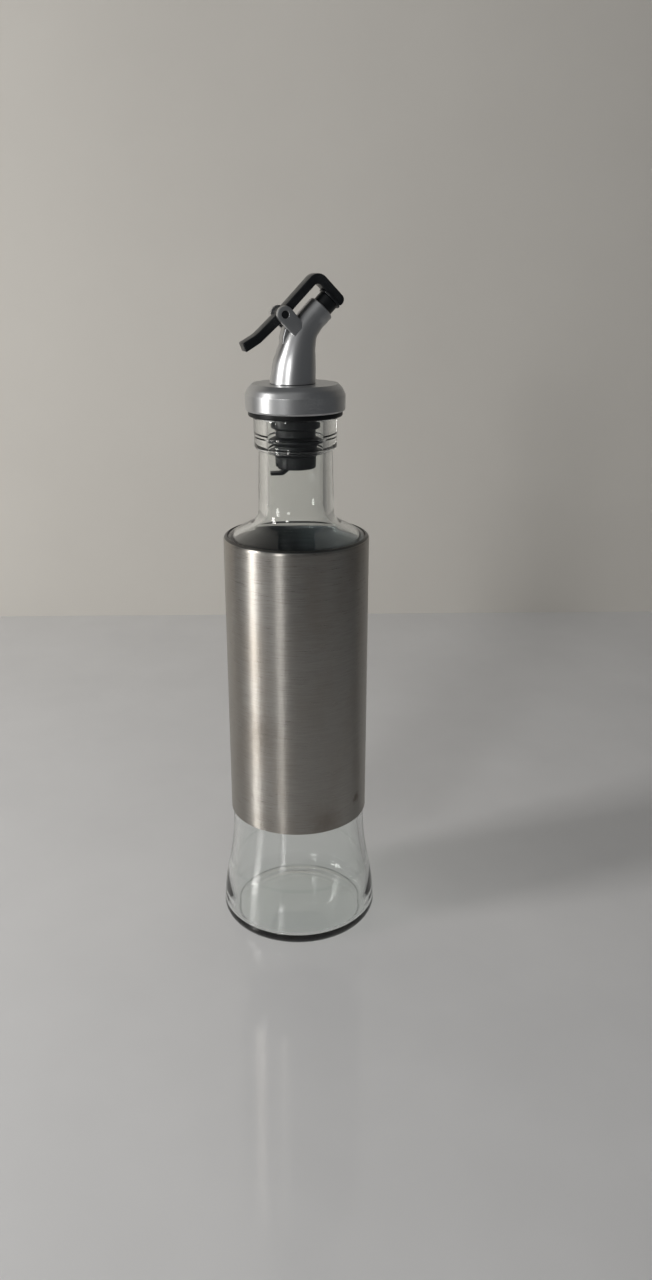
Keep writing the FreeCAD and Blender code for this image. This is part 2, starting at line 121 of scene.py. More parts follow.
# name; degrees to the camera's left, distance from the axis and height; width and height; watts; colour
LAMPS = (
    ("left_lamp", (72, 0.95, 0.44), (0.18, 0.70), 6.2, (1.0, 0.98, 0.95)),
    ("front_lamp", (27, 1.1, 0.48), (0.16, 0.30), 2.6, (1.0, 0.99, 0.97)),
    ("room_glow", (60, 1.6, 0.75), (2.2, 1.3), 3.0, (0.98, 0.98, 1.0)),
    ("ceiling_glow", (12, 0.75, 1.3), (0.9, 0.8), 0.45, (1.0, 0.99, 0.97)),
)


def around(left_deg, away, up):
    """Point round the bottle: left_deg to the camera's left, away from the axis and up."""
    heading = VIEW_HEADING - radians(left_deg)
    return Vector((away * cos(heading), away * sin(heading), up))


def link_object(name, data):
    thing = bpy.data.objects.new(name, data)
    bpy.context.scene.collection.objects.link(thing)
    return thing


def add_camera():
    data = bpy.data.cameras.new("camera")
    data.lens = CAMERA_LENS
    data.sensor_width = CAMERA_SENSOR
    data.clip_start, data.clip_end = CAMERA_NEAR, CAMERA_FAR
    camera = link_object("camera", data)
    camera.location = around(0, CAMERA_AWAY, CAMERA_UP)
    heading = VIEW_HEADING + pi - CAMERA_TURN
    turn = Matrix.Rotation(heading - pi / 2, 3, "Z") @ Matrix.Rotation(pi / 2 - CAMERA_DIP, 3, "X")
    camera.rotation_euler = (turn @ Matrix.Rotation(CAMERA_TILT, 3, "Z")).to_euler()
    bpy.context.scene.camera = camera


def add_lamps():
    for name, place, size, watts, colour in LAMPS:
        data = bpy.data.lights.new(name, "AREA")
        data.shape = "RECTANGLE"
        data.size, data.size_y = size
        data.energy = watts
        data.color = colour
        lamp = link_object(name, data)
        lamp.location = around(*place)
        aim = Vector(LAMPS_AIM) - around(*place)
        lamp.rotation_euler = aim.to_track_quat("-Z", "Y").to_euler()
        lamp.visible_camera = False


def set_background(node, colour, strength):
    node.inputs["Color"].default_value = (*colour, 1)
    node.inputs["Strength"].default_value = strength


def choose_shader(tree, amount, first, second, output):
    """Shows the first shader where amount is 0 and the second where it is 1."""
    mix = tree.nodes.new("ShaderNodeMixShader")
    for socket, source in zip(mix.inputs, (amount, first, second)):
        tree.links.new(source, socket)
    tree.links.new(mix.outputs[0], tree.nodes[output].inputs["Surface"])


def add_room():
    """Dim room that lights the bottle; past the stage the camera sees a paler tone."""
    world = bpy.data.worlds.new("room")
    bpy.context.scene.world = world
    world.use_nodes = True
    tree = world.node_tree
    dim = tree.nodes["Background"]
    set_background(dim, (0.93, 0.96, 1.0), 0.10)
    pale = tree.nodes.new("ShaderNodeBackground")
    set_background(pale, (0.60, 0.585, 0.555), 0.62)
    path = tree.nodes.new("ShaderNodeLightPath")
    choose_shader(tree, path.outputs["Is Camera Ray"], dim.outputs[0], pale.outputs[0], "World Output")


def link_new(name, bm, materials):
    mesh = bpy.data.meshes.new(name)
    bm.to_mesh(mesh)
    bm.free()
    for material in materials:
        mesh.materials.append(material)
    return link_object(name, mesh)


def add_sheet(name, material, low, high, upright):
    """Flat sheet from corner to corner, lying at the foot or standing along the table's far edge."""
    bm = bmesh.new()
    bmesh.ops.create_grid(bm, x_segments=1, y_segments=1, size=0.5)
    bmesh.ops.scale(bm, verts=bm.verts, vec=(high[0] - low[0], high[1] - low[1], 1))
    middle = ((low[0] + high[0]) / 2, (low[1] + high[1]) / 2, 0)
    bmesh.ops.translate(bm, verts=bm.verts, vec=middle)
    if upright:
        bmesh.ops.rotate(bm, verts=bm.verts, matrix=Matrix.Rotation(pi / 2, 3, "X"))
        bmesh.ops.translate(bm, verts=bm.verts, vec=(0, TABLE_BEHIND, 0))
    axes = Matrix.Rotation(VIEW_HEADING + pi / 2, 4, "Z")   # +Y of the stage runs away from the camera
    bmesh.ops.transform(bm, verts=bm.verts, matrix=axes)
    link_new(name, bm, [material])


def add_stage():
    """Pale glossy table with a pale wall along its far edge; the wall shows from the front only."""
    add_sheet("table", table_top(), (-TABLE_LEFT, -TABLE_FRONT), (TABLE_RIGHT, TABLE_BEHIND), False)
    add_sheet("wall", wall_paint(), (-WALL_SIDE, -WALL_DOWN), (WALL_SIDE, WALL_UP), True)


# ------------------------------------------------------------------ material helpers

NOISE_LOW, NOISE_HIGH = 0.3, 0.7   # where nearly all the values of a noise lie
RAG_SCALE = 320                    # noise that frays the edge of a patch


def principled(name, **sockets):
    """New material; sockets are the shader's own values, with _ for a space in their names."""
    material = bpy.data.materials.new(name)
    material.use_nodes = True
    shader = material.node_tree.nodes["Principled BSDF"]
    for key, value in sockets.items():
        shader.inputs[key.replace("_", " ")].default_value = value
    return material, material.node_tree, shader


def mapped(tree, scale=(1, 1, 1)):
    """Object coordinates, in metres, through a Mapping node."""
    coords = tree.nodes.new("ShaderNodeTexCoord")
    mapping = tree.nodes.new("ShaderNodeMapping")
    mapping.inputs["Scale"].default_value = scale
    tree.links.new(coords.outputs["Object"], mapping.inputs["Vector"])
    return mapping.outputs["Vector"]


def noise(tree, vector, scale, detail, rough=0.55, distortion=0.0):
    node = tree.nodes.new("ShaderNodeTexNoise")
    node.inputs["Scale"].default_value = scale
    node.inputs["Detail"].default_value = detail
    node.inputs["Roughness"].default_value = rough
    node.inputs["Distortion"].default_value = distortion
    tree.links.new(vector, node.inputs["Vector"])
    return node.outputs["Fac"]


def span(tree, value, from_low, from_high, to_low, to_high):
    """Value carried from one range to another, clamped."""
    node = tree.nodes.new("ShaderNodeMapRange")
    for key, number in (("From Min", from_low), ("From Max", from_high),
                        ("To Min", to_low), ("To Max", to_high)):
        node.inputs[key].default_value = number
    tree.links.new(value, node.inputs["Value"])
    return node.outputs["Result"]


def spread(tree, value, to_low=0, to_high=1):
    """A noise's usual values carried to another range, clamped."""
    return span(tree, value, NOISE_LOW, NOISE_HIGH, to_low, to_high)


def maths(tree, operation, first, second):
    node = tree.nodes.new("ShaderNodeMath")
    node.operation = operation
    for socket, value in zip(node.inputs, (first, second)):
        if isinstance(value, (int, float)):
            socket.default_value = value
        else:
            tree.links.new(value, socket)
    return node.outputs[0]


def blend_colour(tree, amount, first, second):
    """Mix of two colours by amount; each is a colour or an output."""
    node = tree.nodes.new("ShaderNodeMix")
    node.data_type = "RGBA"
    sockets = [s for s in node.inputs if s.type == "RGBA"]
    for socket, value in zip(sockets, (first, second)):
        if isinstance(value, tuple):
            socket.default_value = (*value, 1)
        else:
            tree.links.new(value, socket)
    tree.links.new(amount, node.inputs[0])
    return [s for s in node.outputs if s.type == "RGBA"][0]


def bump(tree, shader, height, strength, depth_mm):
    node = tree.nodes.new("ShaderNodeBump")
    node.inputs["Strength"].default_value = strength
    node.inputs["Distance"].default_value = depth_mm * MM
    tree.links.new(height, node.inputs["Height"])
    tree.links.new(node.outputs[0], shader.inputs["Normal"])


def patch(tree, centre, radius, soft, ragged):
    """1 inside a soft round patch about a point, 0 outside; ragged frays its edge. Millimetres."""
    here = mapped(tree)
    node = tree.nodes.new("ShaderNodeVectorMath")
    node.operation = "DISTANCE"
    tree.links.new(here, node.inputs[0])
    node.inputs[1].default_value = [c * MM for c in centre]
    rag = spread(tree, noise(tree, here, RAG_SCALE, detail=3), -ragged * MM, ragged * MM)
    away = maths(tree, "ADD", node.outputs["Value"], rag)
    return span(tree, away, (radius - soft) * MM, (radius + soft) * MM, 1, 0)


# ------------------------------------------------------------------ finishes

def table_top():
    """Pale glossy laminate, faintly wavy and wiped."""
    material, tree, shader = principled("table_top")
    wiped = noise(tree, mapped(tree), scale=14, detail=3)
    tone = blend_colour(tree, spread(tree, wiped), (0.75, 0.75, 0.755), (0.79, 0.79, 0.795))
    tree.links.new(tone, shader.inputs["Base Color"])
    tree.links.new(span(tree, wiped, 0.35, 0.7, 0.07, 0.12), shader.inputs["Roughness"])
    return material


def wall_paint():
    """Matt paint, seen from its front only."""
    material, tree, shader = principled("wall_paint", Roughness=0.9)
    grain = noise(tree, mapped(tree), scale=6, detail=4)
    tone = blend_colour(tree, spread(tree, grain), (0.645, 0.62, 0.576), (0.675, 0.65, 0.604))
    tree.links.new(tone, shader.inputs["Base Color"])
    through = tree.nodes.new("ShaderNodeBsdfTransparent")
    side = tree.nodes.new("ShaderNodeNewGeometry")
    choose_shader(tree, side.outputs["Backfacing"], shader.outputs[0], through.outputs[0], "Material Output")
    return material


def clear_glass():
    """Pressed soda glass, faintly green and faintly wavy; plain see-through for shadows."""
    material, tree, shader = principled(
        "clear_glass", Base_Color=(0.966, 0.983, 0.974, 1), Roughness=0.0, IOR=1.5, Transmission_Weight=1.0)
    waves = noise(tree, mapped(tree, (1, 1, 0.6)), scale=55, detail=2)
    bump(tree, shader, waves, strength=0.12, depth_mm=0.25)
    see_through = tree.nodes.new("ShaderNodeBsdfTransparent")
    see_through.inputs["Color"].default_value = (0.965, 0.972, 0.968, 1)
    path = tree.nodes.new("ShaderNodeLightPath")
    plain = maths(tree, "MAXIMUM", path.outputs["Is Shadow Ray"], path.outputs["Is Diffuse Ray"])
    choose_shader(tree, plain, shader.outputs[0], see_through.outputs[0], "Material Output")
    return material


# handling marks on the sleeve: middle, radius, softness and raggedness of the patch, and its strength
SLEEVE_MARKS = (
    ((20.2, -24.1, 67), 2.2, 1.2, 1.2, 1.0),
    ((3.1, -31.3, 61), 4.5, 3.5, 2.5, 0.45),
    ((-23.7, -20.7, 105), 7.0, 6.0, 4.0, 0.4),
)
ROLLED_EDGE_PAINTED_SHADE_FROM, ROLLED_EDGE_PAINTED_SHADE_TO = 0.8, 0.3      # below the sleeve's top: band of painted shade on the rolled edge


def sleeve_marks(tree):
    """1 in the handling marks, 0 elsewhere."""
    marks = 0
    for centre, radius, soft, ragged, strength in SLEEVE_MARKS:
        mark = maths(tree, "MULTIPLY", patch(tree, centre, radius, soft, ragged), strength)
        marks = maths(tree, "MAXIMUM", marks, mark)
    return marks


def sleeve_steel():
    """Stainless steel brushed round the sleeve, with a few handling marks and painted shade on its rolled
    top edge.
    """
    material, tree, shader = principled(
        "sleeve_steel", Metallic=1.0, Anisotropic=0.86, Anisotropic_Rotation=0.25)
    tangent = tree.nodes.new("ShaderNodeTangent")
    tangent.direction_type = "RADIAL"
    tangent.axis = "Z"
    tree.links.new(tangent.outputs[0], shader.inputs["Tangent"])
    lines = noise(tree, mapped(tree, (110, 110, 2800)), scale=1, detail=4, rough=0.75)
    clouds = noise(tree, mapped(tree, (1, 1, 0.45)), scale=60, detail=4)
    brushed = blend_colour(tree, spread(tree, lines), (0.30, 0.285, 0.262), (0.43, 0.412, 0.385))
    warm = blend_colour(tree, span(tree, clouds, 0.42, 0.66, 0, 0.45), brushed, (0.31, 0.275, 0.235))
    stained = blend_colour(tree, span(tree, sleeve_marks(tree), 0, 1, 0, 0.75), warm, (0.16, 0.135, 0.11))
    height = tree.nodes.new("ShaderNodeSeparateXYZ")
    tree.links.new(mapped(tree), height.inputs[0])
    # painted shade: the colour darkens over the rolled top edge, standing in for the dim ceiling it reflects
    edge = span(tree, height.outputs["Z"], (SLEEVE_TOP_Z - ROLLED_EDGE_PAINTED_SHADE_FROM) * MM,
                (SLEEVE_TOP_Z - ROLLED_EDGE_PAINTED_SHADE_TO) * MM, 0, 1)
    tone = blend_colour(tree, edge, stained, (0.10, 0.097, 0.092))
    tree.links.new(tone, shader.inputs["Base Color"])
    tree.links.new(spread(tree, lines, 0.25, 0.44), shader.inputs["Roughness"])
    bump(tree, shader, lines, strength=0.25, depth_mm=0.02)
    return material


def sleeve_inside_painted_shade():
    """Inner side of the sleeve: unpolished, its colour darkened as painted shade for the unlit inside behind
    the glass.
    """
    material, tree, shader = principled("sleeve_inside_painted_shade", Metallic=0.6, Roughness=0.45)
    lines = noise(tree, mapped(tree, (40, 40, 900)), scale=1, detail=3, rough=0.6)
    # painted shade: near-black colour standing in for the unlit inside of the sleeve
    tone = blend_colour(tree, spread(tree, lines), (0.035, 0.045, 0.05), (0.07, 0.08, 0.085))
    tree.links.new(tone, shader.inputs["Base Color"])
    return material


def silver_coat():
    """Satin silver coat over moulded plastic, with fine flake and a rubbed place on the collar."""
    material, tree, shader = principled("silver_coat", Metallic=0.94)
    flake = noise(tree, mapped(tree), scale=7000, detail=1)
    rubbed = noise(tree, mapped(tree, (340, 340, 900)), scale=1, detail=4, rough=0.65, distortion=0.4)
    tone = blend_colour(tree, spread(tree, flake), (0.46, 0.466, 0.47), (0.52, 0.525, 0.53))
    scuff = patch(tree, (1.5, -COLLAR_R, COLLAR_Z + 4.6), radius=3.4, soft=1.6, ragged=1.6)
    worn = maths(tree, "MULTIPLY", scuff, span(tree, rubbed, 0.42, 0.6, 0, 0.4))
    tree.links.new(blend_colour(tree, worn, tone, (0.78, 0.78, 0.78)), shader.inputs["Base Color"])
    dulled = maths(tree, "ADD", spread(tree, flake, 0, 0.3), worn)
    tree.links.new(span(tree, dulled, 0, 1.2, 0.31, 0.45), shader.inputs["Roughness"])
    bump(tree, shader, flake, strength=0.08, depth_mm=0.01)
    return material


def moulded_black(name, colour, shine, rough_low, rough_high, dust):
    """Black plastic or rubber with moulding grain and a little dust."""
    material, tree, shader = principled(name, Specular_IOR_Level=shine)
    here = mapped(tree)
    grain = noise(tree, here, scale=1500, detail=2)
    patches = noise(tree, here, scale=160, detail=4)
    specks = noise(tree, here, scale=2600, detail=1)
    dusty = maths(tree, "MULTIPLY", span(tree, patches, 0.5, 0.75, 0, dust),
                  span(tree, specks, 0.52, 0.68, 0.1, 1))
    tree.links.new(blend_colour(tree, dusty, colour, (0.16, 0.165, 0.17)), shader.inputs["Base Color"])
    tree.links.new(spread(tree, patches, rough_low, rough_high), shader.inputs["Roughness"])
    bump(tree, shader, grain, strength=0.15, depth_mm=0.03)
    return material


# ------------------------------------------------------------------ outlines and meshes

def corner_arc(a, b, c, r):
    """Points of the arc of radius r that rounds the corner b between a and c."""
    ax, ay, cx, cy = a[0] - b[0], a[1] - b[1], c[0] - b[0], c[1] - b[1]
    la, lc = hypot(ax, ay), hypot(cx, cy)
    ax, ay, cx, cy = ax / la, ay / la, cx / lc, cy / lc
    half = acos(max(-1, min(1, ax * cx + ay * cy))) / 2
    run, reach = r / tan(half), r / sin(half)      # from the corner to the arc's ends and to its centre
    mx, my = (ax + cx) / (2 * cos(half)), (ay + cy) / (2 * cos(half))
    ox, oy = b[0] + mx * reach, b[1] + my * reach
    start = atan2(b[1] + ay * run - oy, b[0] + ax * run - ox)
    end = atan2(b[1] + cy * run - oy, b[0] + cx * run - ox)
    sweep = (end - start + pi) % (2 * pi) - pi
    steps = max(2, ceil(abs(sweep) / ARC_STEP), ceil(r * abs(sweep) / ARC_CHORD))
    return [(ox + r * cos(start + sweep * i / steps), oy + r * sin(start + sweep * i / steps))
            for i in range(steps + 1)]


def rounded(corners, guard=0.0):
    """Closed outline through corners (p, q, radius).

    A guard puts a point that far inside each end of a long straight stretch, so that it shades flat.
    """
    arcs = [corner_arc(corners[i - 1], (p, q), corners[(i + 1) % len(corners)], r) if r else [(p, q)]
            for i, (p, q, r) in enumerate(corners)]
    points = []
    for arc, after in zip(arcs, arcs[1:] + arcs[:1]):
        points += arc
        (ax, ay), (bx, by) = arc[-1], after[0]
        length = hypot(bx - ax, by - ay)
        if guard and length > GUARDED_FROM * guard:
            for part in (guard / length, 1 - guard / length):
                points.append((ax + (bx - ax) * part, ay + (by - ay) * part))
    return points


def loop_of(bm, places):
    """Closed loop of edges through places, in millimetres."""
    verts = [bm.verts.new(Vector(place) * MM) for place in places]
    return [bm.edges.new((a, b)) for a, b in zip(verts, verts[1:] + verts[:1])]


def turned(corners, steps=TURN_STEPS):
    """Mesh turned about Z from a closed outline of corners (radius, height, rounding)."""
    bm = bmesh.new()
    loop_of(bm, [(r, 0, z) for r, z in rounded(corners, GUARD)])
    bmesh.ops.spin(bm, geom=bm.verts[:] + bm.edges[:], cent=(0, 0, 0), axis=(0, 0, 1), angle=2 * pi,
                   steps=steps, use_merge=True)
    bmesh.ops.remove_doubles(bm, verts=bm.verts, dist=SAME_PLACE)
    bmesh.ops.dissolve_degenerate(bm, edges=bm.edges, dist=SAME_PLACE)
    wire = [e for e in bm.edges if not e.link_faces]
    bmesh.ops.delete(bm, geom=wire, context="EDGES")
    return bm


def bar(radius, half, edge):
    """Bar turned about Z, its rims cut back by edge."""
    rim = radius - edge
    return turned([(0, -half, 0), (rim, -half, 0), (radius, edge - half, 0),
                   (radius, half - edge, 0), (rim, half, 0), (0, half, 0)], BAR_STEPS)


def thicken(bm, faces, way):
    """Joins faces to a copy of them that stands off by a vector, in millimetres."""
    moved = bmesh.ops.extrude_face_region(bm, geom=faces, use_keep_orig=True)["geom"]
    verts = [v for v in moved if isinstance(v, bmesh.types.BMVert)]
    bmesh.ops.translate(bm, verts=verts, vec=Vector(way) * MM)


def round_edges(bm, edges, width, segments):
    bmesh.ops.bevel(bm, geom=edges, offset=width * MM, offset_type="OFFSET", affect="EDGES",
                    segments=segments, profile=0.5, material=-1)


def two_largest(bm):
    return sorted(bm.faces, key=lambda f: f.calc_area())[-2:]


def plate(places, thickness, edge):
    """Flat plate through places on one plane, thickened by a vector, its rims rounded by edge."""
    bm = bmesh.new()
    loop_of(bm, places)
    thicken(bm, bmesh.ops.contextual_create(bm, geom=bm.edges[:])["faces"], thickness)
    flats = two_largest(bm)
    round_edges(bm, [e for e in bm.edges if any(f in flats for f in e.link_faces)], edge, PLATE_RIM_STEPS)
    bmesh.ops.inset_individual(bm, faces=two_largest(bm), thickness=GUARD * MM, use_even_offset=True)
    return bm


def placed(bm, direction, start):
    """Carries a mesh turned about Z to a line through start."""
    turn = Vector(direction).to_track_quat("Z", "Y").to_matrix().to_4x4()
    bmesh.ops.transform(bm, verts=bm.verts, matrix=Matrix.Translation(Vector(start) * MM) @ turn)
    return bm


def finish_piece(bm, name, node, body, slot, *materials):
    """Links a piece that stands for a CAD node and rides on its body."""
    bmesh.ops.recalc_face_normals(bm, faces=bm.faces)
    for face in bm.faces:
        face.smooth = True
    for edge in bm.edges:
        if edge.is_manifold and edge.calc_face_angle() > SHARP:
            edge.smooth = False
    piece = link_new(name, bm, materials)
    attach(piece, body)
    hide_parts(node)


def finish_silver(bm, name):
    finish_piece(bm, name, "pourer_spout", "bottle", "silver_coat", SILVER)


def finish_lever(bm, name):
    finish_piece(bm, name, "flip_lever", "lever", "lever_plastic", BLACK)


# ------------------------------------------------------------------ glass bottle

BODY_R = 30.7
GLASS_T = 2.8
FLARE_TOP_Z, FLARE_LEAN, FLARE_R = 52.0, radians(12.5), 115.5
FLARE_EXTRA_T, FLARE_IN_R = 0.2, 60.0
FOOT_LEAN, FOOT_FLOOR_R, FOOT_SIDE_R = radians(4.5), 36.735, 145.0
FOOT_EXTRA_T = 0.6
HEEL_R, HEEL_IN_R = 5.4, 3.0
RING_IN_R, RING_OUT_R = 29.5, 30.9           # ring that the bottle stands on
RING_EDGE_R = 1.0
RING_MARGIN = 0.5                            # its grooves end this far inside it
RING_TEETH_H = 0.25                          # depth of the grooves across that ring
PUSH_UP, PUSH_UP_R, PUSH_UP_BEND = 3.2, 16.0, 40.0
FLOOR_T, FLOOR_EDGE_T = 3.0, 3.2
SHOULDER_Z, SHOULDER_LEAN, SHOULDER_CORNER_R = 186.1, radians(29), 3.0
SHOULDER_EXTRA_T, SHOULDER_IN_R = 0.1, 4.0
NECK_BASE_R, NECK_TOP_R = 16.3, 15.6
NECK_FILLET_R, NECK_IN_R = 6.0, 13.0
BORE_R = 11.7
FINISH_Z = MOUTH_Z - 13.2                    # foot of the thickened mouth
FINISH_R, FINISH_DRAFT = 17.6, 0.15
BEAD_TOP_Z = FINISH_Z + 4.9
BEAD_R, BEAD_EDGE_R = 17.35, 1.2
BEAD_RISE, BEAD_FOOT_R = 0.6, 0.8            # neck's swelling under the bead
GROOVE = 0.35                                # line between bead and mouth: depth and half height
MOUTH_OUT_R, MOUTH_IN_R = 1.0, 0.8
MOUTH_GAP = 0.02                             # mouth just under the gasket
NEAR_TABLE, NEAR_RING = 0.05, 0.2            # how close a vertex counts as on the table, on the ring


def shoulder_line(r):
    return SHOULDER_Z + (BODY_R - r) * tan(SHOULDER_LEAN)


def groove_ring(bm):
    """Grooves across the standing ring: every second vertex round it is lifted."""
    step = 2 * pi / BOTTLE_STEPS
    lifted = [v for v in bm.verts
              if v.co.z < NEAR_TABLE * MM and hypot(v.co.x, v.co.y) < (RING_OUT_R + NEAR_RING) * MM
              and round(atan2(v.co.y, v.co.x) / step) % 2]
    bmesh.ops.translate(bm, verts=lifted, vec=(0, 0, RING_TEETH_H * MM))


def make_bottle():
    bend_z = FLARE_TOP_Z - FLARE_R * tan(FLARE_LEAN / 2)
    side_z = (FOOT_FLOOR_R - BODY_R - bend_z * tan(FLARE_LEAN)) / (tan(FOOT_LEAN) - tan(FLARE_LEAN))
    side_r = BODY_R + (bend_z - side_z) * tan(FLARE_LEAN)
    in_r = BODY_R - GLASS_T
    drop = GLASS_T / cos(SHOULDER_LEAN) + SHOULDER_EXTRA_T
    in_foot_r = FOOT_FLOOR_R - GLASS_T - FOOT_EXTRA_T - FLOOR_EDGE_T * tan(FOOT_LEAN)
    ring_slope = PUSH_UP / (RING_IN_R - PUSH_UP_R)
    mouth_z = MOUTH_Z - MOUTH_GAP
    bm = turned([
        (0, PUSH_UP, 0),
        (PUSH_UP_R, PUSH_UP, PUSH_UP_BEND),
        (RING_IN_R - RING_MARGIN, RING_MARGIN * ring_slope, 0),
        (RING_IN_R, 0, RING_EDGE_R),
        (FOOT_FLOOR_R, 0, HEEL_R),
        (side_r, side_z, FOOT_SIDE_R),
        (BODY_R, bend_z, FLARE_R),
        (BODY_R, SHOULDER_Z, SHOULDER_CORNER_R),
        (NECK_BASE_R, shoulder_line(NECK_BASE_R), NECK_FILLET_R),
        (NECK_TOP_R, FINISH_Z - BEAD_RISE, BEAD_FOOT_R),
        (BEAD_R, FINISH_Z, BEAD_EDGE_R),
        (BEAD_R, BEAD_TOP_Z - GROOVE, 0),
        (BEAD_R - GROOVE, BEAD_TOP_Z, 0),
        (FINISH_R - FINISH_DRAFT, BEAD_TOP_Z + GROOVE, 0),
        (FINISH_R, mouth_z, MOUTH_OUT_R),
        (BORE_R, mouth_z, MOUTH_IN_R),
        (BORE_R, shoulder_line(BORE_R) - drop, NECK_IN_R),
        (in_r, shoulder_line(in_r) - drop, SHOULDER_IN_R),
        (in_r, bend_z, FLARE_R + GLASS_T),
        (side_r - GLASS_T - FLARE_EXTRA_T, side_z, FLARE_IN_R),
        (in_foot_r, FLOOR_EDGE_T, HEEL_IN_R),
        (PUSH_UP_R, PUSH_UP + FLOOR_T, PUSH_UP_BEND),
        (0, PUSH_UP + FLOOR_T, 0),
    ], BOTTLE_STEPS)
    groove_ring(bm)
    finish_piece(bm, "bottle_glass", "glass_bottle", "bottle", "clear_glass", clear_glass())


# ------------------------------------------------------------------ steel sleeve

SLEEVE_T = 0.5
SLEEVE_ROLL_R = 1.7                          # outer radius of the rolled top edge
LIP_W, LIP_EDGE_R = 1.45, 0.15
LIP_DEPTH = 0.4                              # faces lower than this are the wall's, not the lip's
SLEEVE_EDGE = 0.08                           # broken edge at the bottom
NEAR_WALL = 0.05                             # how close a face counts as on the inner side


def make_sleeve():
    lip_r = SLEEVE_R - LIP_W
    in_r = SLEEVE_R - SLEEVE_T
    bm = turned([
        (in_r, SLEEVE_BOTTOM_Z, 0),
        (SLEEVE_R - SLEEVE_EDGE, SLEEVE_BOTTOM_Z, 0),
        (SLEEVE_R, SLEEVE_BOTTOM_Z + SLEEVE_EDGE, 0),
        (SLEEVE_R, SLEEVE_TOP_Z, SLEEVE_ROLL_R),
        (lip_r, SLEEVE_TOP_Z, LIP_EDGE_R),
        (lip_r, SLEEVE_TOP_Z - SLEEVE_T, 0),
        (in_r, SLEEVE_TOP_Z - SLEEVE_T, SLEEVE_ROLL_R - SLEEVE_T),
    ])
    # faces of the inner wall take the painted-shade material
    for face in bm.faces:
        middle = face.calc_center_median()
        inside = hypot(middle.x, middle.y) < (in_r + NEAR_WALL) * MM
        if inside and middle.z < (SLEEVE_TOP_Z - LIP_DEPTH) * MM:
            face.material_index = 1
    finish_piece(bm, "sleeve_shell", "steel_sleeve", "bottle", "sleeve_steel",
                 sleeve_steel(), sleeve_inside_painted_shade())


# ------------------------------------------------------------------ silver pourer

STEM_FOOT = ((-1.22, -1.0, 9.48), (-0.6, 5.5, 9.1), (-0.13, 9.9, 8.55))   # rings: x, height, radius
BEND_START_X, BEND_START_H, BEND_START_R = 0.8, 14.5, 7.65   # ring where the stem starts to bend
BEND_MIDDLE_R = 6.2                          # stem's radius half way round the bend
BEND_X, BEND_IN_R = 17.8, 9.4                # centre of the bend, and from there to the stem's front
STEM_PARTS = 8                               # rings from one known ring to the next
SPOUT_EDGE = 0.3
NOZZLE_HOLE_R, NOZZLE_HOLE_DEPTH = 4.0, 2.0
COLLAR_WALL_H, COLLAR_TOP_R = 6.6, 17.7
COLLAR_CROWN, COLLAR_CROWN_R = 0.35, 4.0     # bulge of the sloping shoulder
COLLAR_FOOT_IN, COLLAR_FOOT_H = 0.5, 0.7
COLLAR_FOOT_R, COLLAR_FOOT_EDGE_R = 0.4, 0.2
COLLAR_CREASE_R, COLLAR_TOP_EDGE_R = 0.35, 0.3
EAR_R, EAR_HOLE_R = 3.35, 1.55
EAR_SHORT = 1.4                              # ears end this far above the spout's axis
EAR_FOOT_CUT = 2.4                           # slanting corner at the ears' lower front
EAR_TAPER, EAR_TAPER_TOP, EAR_TAPER_R = 0.5, -1.0, 5.0
EAR_CORNER_R = 0.6
EAR_EDGE, EAR_HOLE_EDGE = 0.42, 0.14
EAR_EDGE_STEPS, EAR_HOLE_STEPS = 2, 1
ROUND_END = 0.01                             # keeps the two arcs of the round end from meeting
PLATE_RIM_STEPS = 3
WEB_BACK_X, WEB_FRONT_X = -5.9, 1.0
WEB_FOOT_RISE = 7.5
WEB_FRONT_DROP = 9.0                         # top of the web's front, below the hinge
WEB_BACK_U, WEB_SUNK = -2.0, 1.2             # where its top meets the spout, and how deep in it
WEB_HUB_R = 3.3                              # hollow round the lever's hub
WEB_HUB_POINTS, WEB_HUB_STEP = 7, radians(10)
WEB_SET_IN, WEB_EDGE = 0.7, 0.5
TAB_GAP = 0.4                                # web to the pressed tab


def smooth_between(before, a, b, after, t):
    """Point on the smooth curve through four neighbours, t of the way from a to b."""
    return tuple(
        0.5 * (2 * q + (r - p) * t + (2 * p - 5 * q + 4 * r - s) * t * t
               + (3 * q - p - 3 * r + s) * t ** 3)
        for p, q, r, s in zip(before, a, b, after))


def stem_rings():
    """Middle x and z, radius and lean of each ring along the stem, through a few known ones."""
    bend_z = COLLAR_TOP_Z + BEND_START_H
    bend_r = BEND_IN_R + BEND_MIDDLE_R
    half = SPOUT_LEAN / 2
    straight = (BEND_X - HINGE[0]) * cos(SPOUT_LEAN) + (bend_z - HINGE[2]) * sin(SPOUT_LEAN)
    known = [(x, COLLAR_TOP_Z + height, r, 0) for x, height, r in STEM_FOOT]
    known.append((BEND_START_X, bend_z, BEND_START_R, 0))
    known.append((BEND_X - bend_r * cos(half), bend_z + bend_r * sin(half), BEND_MIDDLE_R, half))
    for u in (straight, (straight + SPOUT_END) / 2, SPOUT_END - SPOUT_EDGE):
        at = along(u, -SPOUT_DROP)
        known.append((at.x, at.z, SPOUT_R, SPOUT_LEAN))
    rings = []
    for i, (a, b) in enumerate(zip(known, known[1:])):
        before, after = known[max(i - 1, 0)], known[min(i + 2, len(known) - 1)]
        rings += [smooth_between(before, a, b, after, k / STEM_PARTS) for k in range(STEM_PARTS)]
    return rings + [known[-1]]


